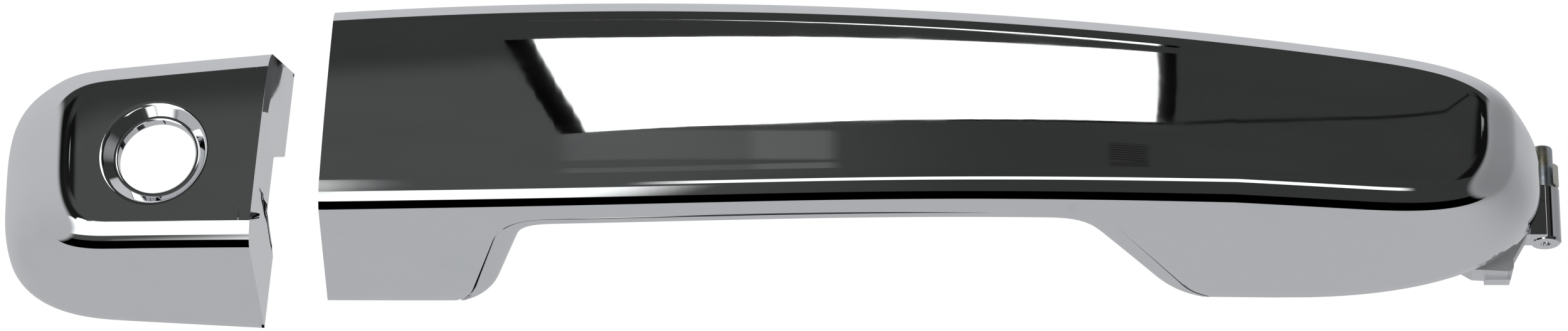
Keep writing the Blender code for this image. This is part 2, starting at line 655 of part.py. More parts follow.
def make_bell_crank():
    """A hub on the axle, a long arm down to the hook and a short arm that works the latch rod."""
    hub = [(0, HUB_RADIUS), (0.0090, HUB_RADIUS)]
    crank = turned("bell_crank", (-0.0705, CRANK_Y, CRANK_Z), (1, 0, 0), hub, NYLON)
    down = plate("crank_down", bar_outline(
        (CRANK_Y, CRANK_Z), crank_point(CRANK_ARM + 0.0010, SHOE_DEGREES), 0.0022), "YZ", (-0.0704, -0.0680))
    peg = turned("crank_peg", (-0.0690, *crank_point(CRANK_ARM, SHOE_DEGREES)), (1, 0, 0),
                 [(0, 0.0012), (0.0050, 0.0012)], steps=12)
    rod_arm = plate("crank_rod_arm", bar_outline(
        (CRANK_Y, CRANK_Z), crank_point(ROD_REACH, ROD_DEGREES), 0.0026), "YZ", (-0.0645, -0.0616))
    eye = turned("crank_eye", (-0.0645, *crank_point(ROD_REACH, ROD_DEGREES)), (1, 0, 0),
                 [(0, 0.0042), (0.0029, 0.0042)])
    tray = box("crank_tray", (-0.0704, -0.0655), (CRANK_Y + 0.0025, CRANK_Y + 0.0140),
               (CRANK_Z - 0.0012, CRANK_Z + 0.0008))
    join(crank, down, peg, rod_arm, eye, tray)
    crank_axis = turned("crank_bore", (-0.0800, CRANK_Y, CRANK_Z), (1, 0, 0),
                        [(0, AXLE_RADIUS + GAP), (0.030, AXLE_RADIUS + GAP)])
    eye_bore = turned("crank_eye_bore", (-0.0700, *crank_point(ROD_REACH, ROD_DEGREES)), (1, 0, 0),
                      [(0, 0.0029), (0.020, 0.0029)])
    cut(crank, crank_axis, eye_bore)
    return crank


def bushed(name, x, centre, radius, bore, finish, steps=20):
    """A ring between two values of x, turned about an axis along X."""
    length = x[1] - x[0]
    ring = turned(name, (x[0], *centre), (1, 0, 0), [(0, radius), (length, radius)], finish, steps)
    through = [(0, bore), (length + 0.002, bore)]
    cut(ring, turned(name + "_bore", (x[0] - 0.001, *centre), (1, 0, 0), through, steps=steps))
    return ring


def make_lever_pin():
    """The bell crank's axle, with a head at one end and a groove for its clip at the other."""
    return turned("lever_pin", (EARS[0][0] - 0.0012, CRANK_Y, CRANK_Z), (1, 0, 0), [
        (0, 0.0024), (0.0002, 0.0030), (0.0009, 0.0030), (0.0009, AXLE_RADIUS), (0.0218, AXLE_RADIUS),
        (0.0218, 0.0013), (0.0228, 0.0013), (0.0228, AXLE_RADIUS), (0.0235, AXLE_RADIUS - 0.0004)],
        STEEL, steps=20)


def make_lever_pin_clip():
    start = EARS[0][0] - 0.0012 + 0.0220
    span, outer, inner = (start, start + 0.0006), 0.0036, 0.0016
    clip = bushed("lever_pin_clip", span, (CRANK_Y, CRANK_Z), outer, inner, SPRING_STEEL)
    mouth = (CRANK_Y - 0.0010, CRANK_Y + 0.0010)
    cut(clip, box("lever_pin_clip_mouth", (start - 0.001, start + 0.002), mouth, (CRANK_Z - 0.0060, CRANK_Z)))
    return clip


def make_return_spring():
    """Three turns about the axle and a leg that rests on the frame's plate."""
    radius, wire, turns, start_x, end_x = 0.0033, 0.00042, 3.25, -0.0746, -0.0713
    first = math.radians(180)
    count = int(turns * 12)
    coil = []
    for k in range(count + 1):
        angle = first - math.tau * turns * k / count
        x = start_x + (end_x - start_x) * k / count
        coil.append((x, CRANK_Y + radius * math.cos(angle), CRANK_Z + radius * math.sin(angle)))
    frame_leg = [(start_x, PLATE[1] + 0.0009, CRANK_Z - 0.0125),
                 (start_x, CRANK_Y - radius, CRANK_Z - 0.0020)]
    return tube("return_spring", frame_leg + coil, wire, SPRING_STEEL)


def make_pads():
    plate("rear_pad", rounded([
        (-0.0757, -0.0268, 0.0030), (-0.0585, -0.0268, 0.0050), (-0.0585, 0.0112, 0.0050),
        (-0.0748, 0.0112, 0.0030)], 3), "XZ", PAD_Y, RUBBER, holes=(rounded([
            (-0.0733, -0.0232, 0.0015), (-0.0612, -0.0232, 0.0015), (-0.0612, 0.0070, 0.0015),
            (-0.0733, 0.0070, 0.0015)], 2),))
    loops = []
    for inset, start_x in ((0.0022, 0.0790), (0.0058, 0.0826)):
        rows = [row for row in pad_rows(GRIP_FORM, inset) if row[0].x > start_x + 0.0005]
        low, high = rows[0]
        outline = [(start_x, low.z)] + [(low.x, low.z) for low, _ in rows]
        outline += [(high.x, high.z) for _, high in reversed(rows[:-1])] + [(start_x, high.z)]
        loops.append(outline)
    plate("front_pad", loops[0], "XZ", PAD_Y, RUBBER, holes=loops[1:])
    outer_edge = [(low.x, low.z) for low, _ in pad_rows(CAP_FORM, 0.0022)]
    inner_edge = [(low.x, low.z) for low, _ in pad_rows(CAP_FORM, 0.0048)]
    plate("cap_pad", outer_edge + inner_edge[::-1], "XZ", PAD_Y, RUBBER)


def pad_rows(form, inset):
    return form_ring(form, inset, inset, lambda x: BACK_Y)


def make_stop_buffers():
    for name, x in (("stop_buffer_rear", (-0.0778, -0.0742)), ("stop_buffer_front", (-0.0592, -0.0556))):
        box(name, x, (PLATE[1] + GAP, PLATE[1] + GAP + 0.0015), (-0.0115, -0.0072), RUBBER, edge=0.0003)


def make_pivot_clip():
    """An open clip round the hinge pin, on a block against the frame's tongue."""
    half_mouth = PIN_RADIUS - 0.0003
    height = CLIP_Z[1] - CLIP_Z[0]
    clip = turned("pivot_clip", (PIVOT.x, PIVOT.y, CLIP_Z[0]), (0, 0, 1),
                  [(0, CLIP_RADIUS), (height, CLIP_RADIUS)], ACETAL)
    block = box("pivot_clip_block", (PIVOT.x - 0.0022, PIVOT.x + 0.0018), (PIVOT.y + 0.0024, TONGUE_Y - GAP),
                CLIP_Z)
    join(clip, block)
    bore = PIN_RADIUS + GAP
    cut(clip, turned("pivot_clip_bore", (PIVOT.x, PIVOT.y, -0.020), (0, 0, 1), [(0, bore), (0.040, bore)]))
    mouth = (PIVOT.x - half_mouth, PIVOT.x + half_mouth)
    cut(clip, box("pivot_clip_mouth", mouth, (PIVOT.y - 0.010, PIVOT.y), (-0.020, 0.020)))
    return clip


def make_lever_small_parts():
    shoe = crank_point(CRANK_ARM, SHOE_DEGREES)
    eye = crank_point(ROD_REACH, ROD_DEGREES)
    bushed("lever_shoe", (-0.0677, -0.0642), shoe, SHOE_RADIUS, 0.0015, ACETAL)
    bushed("rod_bush", (-0.0648, -0.0613), eye, 0.0026, 0.0015, ACETAL)
    box("counterweight", (-0.0703, -0.0656), (CRANK_Y + 0.0046, CRANK_Y + 0.0138),
        (CRANK_Z + 0.0011, CRANK_Z + 0.0056), ZINC, edge=0.0004)


def hang_on(name, place, nodes):
    """An empty on a joint's axis, with the pieces of that body as its children."""
    axis = bpy.data.objects.new(name, None)
    axis.location = place
    PARTS.objects.link(axis)
    bpy.context.view_layer.update()
    for node in nodes:
        child = bpy.data.objects[node]
        child.parent = axis
        child.matrix_parent_inverse = axis.matrix_world.inverted()


def build():
    make_outer_shell()
    make_back_shell()
    make_stiffener()
    make_pull_arm()
    make_hinge_arm()
    make_hinge_pin()
    for name, (x, z) in SCREW_PLACES.items():
        make_screw(name, x, z)
    make_lock_cap()
    make_cap_carrier()
    make_cap_screw()
    make_latch_spring()
    make_frame()
    for name, (x, z) in MOUNT_SCREWS.items():
        make_mount_screw(name, x, z)
    make_pads()
    make_stop_buffers()
    make_pivot_clip()
    make_bell_crank()
    make_lever_small_parts()
    make_lever_pin()
    make_lever_pin_clip()
    make_return_spring()
    hang_on("grip_axis", PIVOT, [
        "grip_outer_shell", "grip_back_shell", "grip_stiffener", "pull_arm", "hinge_arm", "hinge_pin",
        *SCREW_PLACES])
    hang_on("lever_axis", (ARM_X, CRANK_Y, CRANK_Z), [
        "bell_crank", "counterweight", "lever_shoe", "rod_bush"])
    hang_on("cap_axis", (CAP_FRONT_X[0], 0, CAP_MID_Z), [
        "lock_cap", "cap_carrier", "cap_pad", "cap_latch_spring", "cap_screw"])


build()
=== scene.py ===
# %% [markdown]
# # A chromed pull handle for a car door
#
# The handle has two chromed mouldings that a person sees: a bowed grip and a small cap round the key
# hole. Behind them are a hinge, a frame and a sprung bell crank. This lesson gives them their looks:
# fine surfaces for the mouldings, rounded edges for the works behind, and a finish for every piece.

import json

import bmesh
import bpy
import numpy as np
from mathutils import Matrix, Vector


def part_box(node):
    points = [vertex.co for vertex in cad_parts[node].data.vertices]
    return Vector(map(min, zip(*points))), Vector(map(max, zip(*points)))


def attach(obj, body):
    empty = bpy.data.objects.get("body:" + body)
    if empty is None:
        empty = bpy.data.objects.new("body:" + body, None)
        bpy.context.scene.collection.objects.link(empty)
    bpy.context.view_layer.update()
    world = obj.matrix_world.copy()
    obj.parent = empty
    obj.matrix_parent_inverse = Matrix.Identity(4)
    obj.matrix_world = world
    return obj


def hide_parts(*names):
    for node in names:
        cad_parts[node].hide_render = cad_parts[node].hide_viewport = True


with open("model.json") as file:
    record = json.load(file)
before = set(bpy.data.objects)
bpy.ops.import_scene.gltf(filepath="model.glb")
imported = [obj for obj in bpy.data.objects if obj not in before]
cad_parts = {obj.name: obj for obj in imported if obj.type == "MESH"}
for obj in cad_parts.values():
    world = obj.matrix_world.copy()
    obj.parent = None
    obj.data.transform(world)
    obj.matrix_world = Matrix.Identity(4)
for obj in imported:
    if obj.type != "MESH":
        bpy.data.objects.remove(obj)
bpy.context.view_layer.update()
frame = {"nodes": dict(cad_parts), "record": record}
nodes = frame["nodes"]

# %% [markdown]
# ## Shader sums as sentences
#
# A finish is a sum: a bit of noise times a depth, plus a scratch, and so on. Wiring each Math node by
# hand hides that sum. A small class can hold one socket and turn Python's own signs into Math nodes,
# so that `0.04 + 0.06 * smudge` reads as what it means. One method makes every other kind of node.


# %% A socket that can be added and multiplied
class Wire:
    """One output socket in a node tree. Signs between wires and numbers add Math nodes."""

    def __init__(self, tree, socket=None):
        self.tree, self.socket = tree, socket

    def node(self, kind, settings=None, sockets=None, output=0):
        """Adds a node: its settings first, then values or wires for its sockets."""
        made = self.tree.nodes.new(kind)
        for key, value in (settings or {}).items():
            setattr(made, key, value)
        for key, value in (sockets or {}).items():
            if isinstance(value, Wire):
                self.tree.links.new(value.socket, made.inputs[key])
            else:
                made.inputs[key].default_value = value
        return Wire(self.tree, made.outputs[output] if made.outputs else None)

    def math(self, operation, first, second=0.0):
        return self.node("ShaderNodeMath", {"operation": operation}, {0: first, 1: second})

    def __add__(self, other):
        return self.math("ADD", self, other)

    def __sub__(self, other):
        return self.math("SUBTRACT", self, other)

    def __rsub__(self, other):
        return self.math("SUBTRACT", other, self)

    def __mul__(self, other):
        return self.math("MULTIPLY", self, other)

    __radd__, __rmul__ = __add__, __mul__

    def ramp(self, low, high):
        """0 below `low`, 1 above `high` and a smooth step between."""
        settings = {"interpolation_type": "SMOOTHSTEP"}
        return self.node("ShaderNodeMapRange", settings, {"Value": self, "From Min": low, "From Max": high})

    def mixed(self, first, second):
        """A colour between two, by this wire's value."""
        pick = {"Factor": self, 6: first, 7: second}
        return self.node("ShaderNodeMix", {"data_type": "RGBA"}, pick, output=2)

    def noise(self, scale, detail=2.0, stretch=(1.0, 1.0, 1.0)):
        """Cloudy noise, `scale` swings to the metre, from places on the object."""
        place = self.node("ShaderNodeTexCoord", output=3)
        place = self.node("ShaderNodeMapping", None, {"Vector": place, "Scale": stretch})
        return self.node("ShaderNodeTexNoise", None, {"Vector": place, "Scale": scale, "Detail": detail})

    def cells(self, scale, output=0, stretch=(1.0, 1.0, 1.0)):
        """Cells of random size: output 0 is the distance to the middle, 1 a colour for each."""
        place = self.node("ShaderNodeTexCoord", output=3)
        place = self.node("ShaderNodeMapping", None, {"Vector": place, "Scale": stretch})
        return self.node("ShaderNodeTexVoronoi", None, {"Vector": place, "Scale": scale}, output=output)

    def bump(self, height, depth):
        """A normal from a height: `depth` metres between height 0 and height 1."""
        return self.node("ShaderNodeBump", None, {"Height": height, "Strength": 1.0, "Distance": depth})


def finish_of(name, build):
    """A material whose Principled inputs come from build(wire)."""
    made = bpy.data.materials.new(name)
    made.use_nodes = True
    tree = made.node_tree
    tree.nodes.clear()
    wire = Wire(tree)
    surface = wire.node("ShaderNodeBsdfPrincipled", None, build(wire))
    wire.node("ShaderNodeOutputMaterial", None, {"Surface": surface})
    return made


# %% [markdown]
# ## Chrome
#
# Decorative chrome is a mirror: all its colour comes from the room. What shows that it is a real
# plated moulding is small. The plating follows a faint waviness of the plastic below it, and a few
# wiped smudges and dust specks blur the mirror. A rough metal would look like aluminium, so the
# roughness stays very low and the waviness is only some thousandths of a millimetre deep.


# %% Chrome finish
def chrome(wire):
    smudge = wire.noise(55.0, 4.0, (1.0, 1.0, 2.4)).ramp(0.50, 0.78)
    dust = 1 - wire.cells(2600.0).ramp(0.045, 0.075)
    rare = wire.noise(900.0, 1.0).ramp(0.56, 0.62)
    specks = dust * rare
    wave = wire.noise(26.0, 1.0) * 1.0 + wire.noise(140.0, 2.0) * 0.06
    clean, hazed, dusty = (0.90, 0.91, 0.925, 1), (0.865, 0.88, 0.90, 1), (0.55, 0.54, 0.52, 1)
    return {
        "Base Color": specks.mixed(smudge.mixed(clean, hazed), dusty),
        "Metallic": 1.0,
        "Roughness": 0.022 + smudge * 0.035 + specks * 0.35,
        "Normal": wire.bump(wave, 0.00005),
    }


CHROME = finish_of("chrome_plate_finish", chrome)
print("finish:", CHROME.name)

# %% [markdown]
# ## Black mouldings and rubber
#
# The frame and the bell crank are nylon filled with short glass fibres. A spark-eroded mould leaves a
# fine grain on it, the fibres show as pale flecks, and its flow leaves soft cloudy streaks. Rubber is
# duller, with a bloom of talc that lies in patches.


# %% Nylon and rubber finishes
def nylon(wire):
    flow = wire.noise(120.0, 3.0, (1.0, 3.0, 1.0))
    fibre = wire.noise(5200.0, 2.0, (0.25, 1.0, 1.0)).ramp(0.60, 0.72)
    grain = wire.cells(4200.0)
    base = flow.ramp(0.30, 0.75).mixed((0.014, 0.014, 0.015, 1), (0.030, 0.030, 0.032, 1))
    return {
        "Base Color": (fibre * 0.6).mixed(base, (0.085, 0.085, 0.080, 1)),
        "Roughness": 0.40 + 0.16 * flow + 0.08 * fibre,
        "Normal": wire.bump(grain + fibre * 0.5, 0.00003),
    }


def rubber(wire):
    bloom = wire.noise(260.0, 5.0).ramp(0.45, 0.75)
    grain = wire.noise(6500.0, 2.0)
    return {
        "Base Color": bloom.mixed((0.010, 0.010, 0.010, 1), (0.034, 0.033, 0.031, 1)),
        "Roughness": 0.74 + 0.18 * bloom,
        "Normal": wire.bump(grain, 0.00004),
    }


NYLON, RUBBER = finish_of("black_nylon_finish", nylon), finish_of("black_rubber_finish", rubber)
print("finishes:", NYLON.name, RUBBER.name)

# %% [markdown]
# ## Small metal parts and natural acetal
#
# Zinc plating passivated in a clear bath keeps a faint yellow and blue cast that drifts across the
# part. Spring steel is darker, with fine lines left by drawing the wire. Die-cast zinc is grey with a
# pitted skin. Acetal is milky, so light enters it a little before it comes back.


# %% Metal and acetal finishes
def plated_steel(wire):
    drift = wire.noise(210.0, 3.0)
    spangle = wire.cells(2100.0, 1)
    spangle = spangle.node("ShaderNodeRGBToBW", None, {"Color": spangle})
    warm, cool = (0.70, 0.66, 0.52, 1), (0.56, 0.62, 0.70, 1)
    turned = wire.noise(900.0, 2.0, (1.0, 8.0, 1.0))
    return {
        "Base Color": drift.ramp(0.38, 0.62).mixed(warm, cool),
        "Metallic": 1.0,
        "Roughness": 0.22 + 0.12 * spangle + 0.08 * drift,
        "Normal": wire.bump(turned + spangle * 0.3, 0.00001),
    }


def spring_steel(wire):
    oil = wire.noise(400.0, 3.0).ramp(0.42, 0.70)
    lines = wire.noise(5000.0, 2.0, (1.0, 0.08, 0.3))
    return {
        "Base Color": oil.mixed((0.40, 0.39, 0.37, 1), (0.23, 0.20, 0.17, 1)),
        "Metallic": 1.0,
        "Roughness": 0.24 + 0.16 * lines,
        "Normal": wire.bump(lines, 0.000006),
    }


def cast_zinc(wire):
    skin = wire.noise(1300.0, 5.0)
    pits = 1 - wire.cells(1500.0).ramp(0.10, 0.24)
    return {
        "Base Color": skin.mixed((0.36, 0.36, 0.38, 1), (0.56, 0.56, 0.57, 1)),
        "Metallic": 0.9,
        "Roughness": 0.38 + 0.22 * skin,
        "Normal": wire.bump(skin - pits * 0.8, 0.00005),
    }


def acetal(wire):
    flow = wire.noise(300.0, 2.0, (1.0, 1.0, 4.0))
    return {
        "Base Color": flow.mixed((0.80, 0.78, 0.70, 1), (0.90, 0.89, 0.84, 1)),
        "Roughness": 0.30 + 0.14 * flow,
        "Subsurface Weight": 0.25,
        "Subsurface Radius": (0.002, 0.0018, 0.0014),
        "Normal": wire.bump(wire.noise(3000.0, 2.0), 0.000008),
    }


def plated_casting(wire):
    """The hinge arm: satin plate over a cast skin, polished only on the barrel at its end."""
    place = wire.node("ShaderNodeTexCoord", output=3)
    satin = 1 - wire.node("ShaderNodeSeparateXYZ", None, {"Vector": place}).ramp(0.1288, 0.1298)
    skin = wire.noise(1900.0, 4.0)
    return {
        "Base Color": skin.mixed((0.90, 0.90, 0.93, 1), (0.96, 0.96, 0.98, 1)),
        "Metallic": 1.0 - 0.5 * satin,
        "Roughness": 0.06 + 0.42 * satin,
        "Normal": wire.bump(skin * satin, 0.00001),
    }


FINISHES = {
    "chrome_plate": CHROME,
    "black_nylon": NYLON,
    "black_rubber": RUBBER,
    "plated_steel": finish_of("plated_steel_finish", plated_steel),
    "spring_steel": finish_of("spring_steel_finish", spring_steel),
    "cast_zinc": finish_of("cast_zinc_finish", cast_zinc),
    "natural_acetal": finish_of("natural_acetal_finish", acetal),
}
CAST_ARM = finish_of("plated_casting_finish", plated_casting)
SLOT_OF = {part["node"]: part["material_slot"] for part in frame["record"]["subparts"]}
BODY_OF = {node: body for body, held in frame["record"]["behaviour"]["bodies"].items() for node in held}
print("finishes:", sorted(FINISHES))

# %% [markdown]
# ## From a grid of points to a piece
#
# Every surface below is a table of points with rows and columns, worked out as whole arrays. One
# function skins such a table with faces. Several tables that share an edge make one piece: their
# doubled points are merged, and the whole skin is turned to look outwards.


# %% Grids to meshes
def grid_faces(rows, columns, start, ring=False):
    """Quads of a rows x columns table whose points are numbered from `start`; a ring also joins its ends."""
    index = start + np.arange(rows * columns).reshape(rows, columns)
    if ring:
        index = np.hstack([index, index[:, :1]])
    corners = (index[:-1, :-1], index[:-1, 1:], index[1:, 1:], index[1:, :-1])
    return np.stack(corners, axis=-1).reshape(-1, 4)


def piece_from(name, tables, slot, body, replaced=(), wall=0.0, outside=(0, -0.1, 0), crease=38.0):
    """A piece skinned over tables of points, listed as (points, ring) pairs.

    The skin is turned so that its face nearest to the point `outside` looks at that point.
    """
    points, faces, count = [], [], 0
    for table, ring in tables:
        rows, columns = table.shape[:2]
        points.append(table.reshape(-1, 3))
        faces.append(grid_faces(rows, columns, count, ring))
        count += rows * columns
    mesh = bpy.data.meshes.new(name)
    mesh.from_pydata(np.concatenate(points).tolist(), [], np.concatenate(faces).tolist())
    skin = bmesh.new()
    skin.from_mesh(mesh)
    bmesh.ops.remove_doubles(skin, verts=skin.verts, dist=2e-6)
    bmesh.ops.dissolve_degenerate(skin, edges=skin.edges, dist=1e-6)
    bmesh.ops.recalc_face_normals(skin, faces=skin.faces)
    near = min(skin.faces, key=lambda face: (face.calc_center_median() - Vector(outside)).length)
    if near.normal.dot(Vector(outside) - near.calc_center_median()) < 0:
        bmesh.ops.reverse_faces(skin, faces=skin.faces)
    skin.to_mesh(mesh)
    skin.free()
    return placed(name, mesh, slot, body, replaced, wall, crease)


def placed(name, mesh, slot, body, replaced=(), wall=0.0, crease=38.0, finish=None):
    """The piece of a finished mesh: shaded, walled, in its finish and on its body."""
    piece = bpy.data.objects.new(name, mesh)
    bpy.context.scene.collection.objects.link(piece)
    mesh.materials.clear()
    mesh.materials.append(finish or FINISHES[slot])
    mesh.shade_smooth()
    mesh.set_sharp_from_angle(angle=np.radians(crease))
    if wall:
        thick = piece.modifiers.new("wall", "SOLIDIFY")
        thick.thickness = wall
        thick.offset = -1.0
    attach(piece, body)
    if replaced:
        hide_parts(*replaced)
    print(name, "faces:", len(mesh.polygons))
    return piece


# %% [markdown]
# ## The form that the grip and the cap share
#
# Both mouldings are one kind of form: a bowed front face, a rounded edge, and walls that flare towards
# the door. Seen from the front, the outline runs straight from a flat end and then closes on a rounded
# tip. A loft through hand-drawn sections would wobble in a mirror, so every point comes from the same
# few formulas as the solids did, only much more finely.

# %% Driving sizes of the two mouldings
FACE_Y, BOW_X, BOW_RADIUS = -0.0420, 0.0050, 0.800
CROWN = 0.0009
BACK_Y = -0.0028
FILLET = 0.0044
DRAFT = np.tan(np.radians(4.2))
SHELL_WALL = 0.0022
LEAN_REACH = 0.030
SEAM = 0.0003


def grip_edges(x, share):
    """Heights of the grip's lower and upper edge, where `share` runs from the face to the door.

    The lower edge has a waist like a bell curve, and rises at the face by a parabola that levels off.
    """
    tuck = np.minimum(0.265 * (x + 0.0040) ** 2, 0.0017) * (1 - share)
    low = -0.0275 + 0.0013 * np.exp(-((x - 0.030) / 0.060) ** 2) + tuck
    return low, 0.0100 - 0.0072 * ((x + 0.050) / 0.150) ** 2


def cap_edges(x, share):
    """Heights of the cap's lower and upper edge, which spread evenly towards the grip."""
    half = 0.0172 + 0.045 * (x - mixed(CAP["flat_x"], share))
    return -0.0155 - half, -0.0155 + half


GRIP = {
    "edges": grip_edges, "flat_x": (-0.0774, -0.0774), "lean": 0.055, "mid_z": -0.0090,
    "round_x": (0.0960, 0.0840), "end_x": (0.1225, 0.1310), "tip_z": -0.0095,
    "top": (3.4, 4.2), "bottom": (3.4, 2.3), "bulge": 1.7, "rise": DRAFT,
}
CAP = {
    "edges": cap_edges, "flat_x": (-0.0886, -0.0877), "lean": 0.080, "mid_z": -0.0155,
    "round_x": (-0.1130, -0.1130), "end_x": (-0.1254, -0.1343), "tip_z": -0.0155,
    "top": (3.4, 4.0), "bottom": (3.0, 2.7), "bulge": 2.4, "rise": np.tan(np.radians(18.0)),
}


# %% Outline of the form at one depth
def face_y(x):
    """The bow of the front face: a parabola that stands for a circle of BOW_RADIUS."""
    return FACE_Y + (x - BOW_X) ** 2 / (2 * BOW_RADIUS)


def mixed(pair, share):
    """The value a share of the way from the first of a pair to the second."""
    return pair[0] + (pair[1] - pair[0]) * share


def outline_at(form, columns, turns, y_of, inset, rungs, end_y=None):
    """A closed ring of points: lower edge to the tip, upper edge back, then down the flat end.

    Past round_x each edge closes on the tip as a superellipse, z = tip + (edge - tip)(1 - u^p)^(1/p).
    The edges spread by the draft times the depth. `end_y` maps heights on the flat end to depths.
    """
    side = np.sign(form["end_x"][0] - form["flat_x"][0])
    face = face_y(form["end_x"][0])
    share = float(np.clip((y_of(form["end_x"][0]) - face) / (BACK_Y - face), 0.0, 1.0))
    tip_x = mixed(form["end_x"], 1 - (1 - share) ** form["bulge"]) - side * inset
    flat_x, round_x = mixed(form["flat_x"], share), mixed(form["round_x"], share)
    x = np.concatenate([flat_x + (round_x - flat_x) * columns, round_x + (tip_x - round_x) * turns])
    u = np.concatenate([np.zeros(len(columns)), turns])
    low, high = form["edges"](x, share)
    depth = y_of(x) - face_y(x)
    bottom, top = mixed(form["bottom"], share), mixed(form["top"], share)
    low = low - DRAFT * depth + inset - form["tip_z"]
    high = high + form["rise"] * depth - inset - form["tip_z"]
    low = form["tip_z"] + low * (1 - u ** bottom) ** (1 / bottom)
    high = form["tip_z"] + high * (1 - u ** top) ** (1 / top)
    fade = np.clip(1 - np.abs(x - flat_x) / LEAN_REACH, 0.0, 1.0) * form["lean"]
    lower = np.stack([x + fade * (low - form["mid_z"]), y_of(x), low], axis=-1)
    upper = np.stack([x + fade * (high - form["mid_z"]), y_of(x), high], axis=-1)
    down = np.linspace(upper[0], lower[0], rungs + 1)[1:-1]
    if end_y is not None:
        down[:, 1] = end_y(down[:, 2])
    return np.concatenate([lower, upper[-2::-1], down])


# %% [markdown]
# ## The finger gap
#
# Behind the strap the grip is cut away to make room for the fingers. Seen from above the gap is a
# bay: a sloping rear leg, the strap's back, and a longer sloping front leg, with rounded corners. The
# grip's back shell follows the bay as a band, so the bay's line is worked out once, as a line with
# arcs at its corners, and read again by distance along it.


# %% Line of the finger gap
STRAP = 0.0116
BAND = 0.0034
GAP_REAR_X, GAP_REAR_FOOT_X = -0.0440, -0.0505
GAP_FRONT_X, GAP_FRONT_FOOT_X = 0.0500, 0.0672
LINE_STEP = 0.0005


def rounded_line(corners, radii, steps=24):
    """A line through corners with each inner corner turned into an arc of its radius."""
    corners = [np.array(corner) for corner in corners]
    points = [corners[0]]
    for before, here, after, radius in zip(corners, corners[1:], corners[2:], radii):
        back = (before - here) / np.linalg.norm(before - here)
        on = (after - here) / np.linalg.norm(after - here)
        half = np.arccos(np.clip(back @ on, -1, 1)) / 2
        centre = here + (back + on) / np.linalg.norm(back + on) * radius / np.sin(half)
        start, finish = here + back * radius / np.tan(half), here + on * radius / np.tan(half)
        turn = np.linspace(0, 1, steps)[:, None]
        chord = (start - centre) * (1 - turn) + (finish - centre) * turn
        points.extend(centre + radius * chord / np.linalg.norm(chord, axis=1)[:, None])
    return np.array([*points, corners[-1]])


def resampled(line, step):
    """The same line with a point every `step` metres."""
    run = np.concatenate([[0], np.cumsum(np.linalg.norm(np.diff(line, axis=0), axis=1))])
    at = np.linspace(0, run[-1], int(run[-1] / step))
    return np.stack([np.interp(at, run, line[:, k]) for k in range(2)], axis=-1)


def smoothed(line, width=9):
    """A running mean along the line, with its ends held."""
    padded = np.pad(line, ((width // 2, width // 2), (0, 0)), mode="reflect", reflect_type="odd")
    kernel = np.ones(width) / width
    return np.stack([np.convolve(padded[:, k], kernel, "valid") for k in range(2)], axis=-1)


def gap_line(grow):
    """The bay's line with its walls moved into the grip by `grow`, from door line to door line."""
    door_y = BACK_Y + 0.0005
    back_xs = np.linspace(-0.034, 0.036, 24)
    back = np.stack([back_xs, face_y(back_xs) + STRAP - grow], axis=-1)
    rear_corner = (GAP_REAR_X - grow, face_y(GAP_REAR_X) + STRAP - grow)
    front_corner = (GAP_FRONT_X + grow, face_y(GAP_FRONT_X) + STRAP - grow)
    rear_foot, front_foot = (GAP_REAR_FOOT_X - grow, door_y), (GAP_FRONT_FOOT_X + 1.2 * grow, door_y)
    rear = rounded_line([(-0.0680, door_y), rear_foot, rear_corner, back[0]], (0.0080 - grow, 0.0045 + grow))
    front = rounded_line([back[-1], front_corner, front_foot, (0.0950, door_y)],
                         (0.0090 + grow, 0.0120 - grow))
    line = smoothed(resampled(np.concatenate([rear, back[1:-1], front]), LINE_STEP))
    return line[line[:, 1] < BACK_Y]


bay, seam_line = gap_line(0.0), gap_line(BAND + SEAM)
print("bay width at the door:", round(float(np.ptp(bay[:, 0])), 4))


def seam_y(x):
    """Depth of the outer shell's edge: the door line, or the seam where the finger gap is."""
    inside = (x > seam_line[0, 0]) & (x < seam_line[-1, 0])
    return np.where(inside, np.interp(x, seam_line[:, 0], seam_line[:, 1]), BACK_Y)


# %% [markdown]
# ## Grip, outer shell
#
# The outer shell is one skin: walls from the seam to the rounded edge, the edge, and the front face.
# The columns crowd where the gap's legs are steep, so that the seam stays crisp. Towards its tip the
# face rolls back into the end, which the mirror shows as a lighter band. The skin then gets a wall.

# %% Grip outer shell
FACE_RUNGS = 30
EDGE_STEPS = 12
ROLL_X, ROLL_RADIUS = 0.1120, 0.080
ROLL_MOST, ROLL_FADE = 0.9, 1.5
COLUMN_STEP = 0.0015


def columns_at(form, xs):
    """Shares of the straight stretch at the door edge for the given places."""
    flat_x, round_x = form["flat_x"][1], form["round_x"][1]
    shares = (xs - flat_x) / (round_x - flat_x)
    return np.unique(np.append(shares[(shares > 0) & (shares < 1)], 0.0))


CLOSING = 0.6


def closing(steps):
    """Shares of the closing stretch, close together where the outline turns: a sine to a power."""
    turn = np.linspace(0, np.pi / 2, steps)
    return np.minimum(np.sin(turn) ** CLOSING, 1.0)


def shell_rings(form, columns, turns, walls, back_of, rungs, end_back=None):
    """Rings of a shell from its door edge to the front: walls, then the quarter round of the edge."""
    rings = []
    for share in walls:
        y_of = lambda x, s=share: mixed((face_y(x) + FILLET, back_of(x)), s)
        end_y = None
        if end_back is not None:
            start = float(face_y(form["flat_x"][0])) + FILLET
            end_y = lambda z, s=share, y0=start: mixed((y0, end_back(z)), s)
        rings.append(outline_at(form, columns, turns, y_of, 0.0, rungs, end_y))
    for turn in np.linspace(0, np.pi / 2, EDGE_STEPS + 1)[1:]:
        drop, edge = FILLET * (1 - np.sin(turn)), FILLET * (1 - np.cos(turn))
        rings.append(outline_at(form, columns, turns, lambda x, d=drop: face_y(x) + d, edge, rungs))
    return np.array(rings)


def crown_at(s, height, full):
    """How far the face swells: a parabola between the edges, less where the face is not so tall."""
    return CROWN * 4 * s * (1 - s) * np.clip(height / full, 0, 1) ** 2


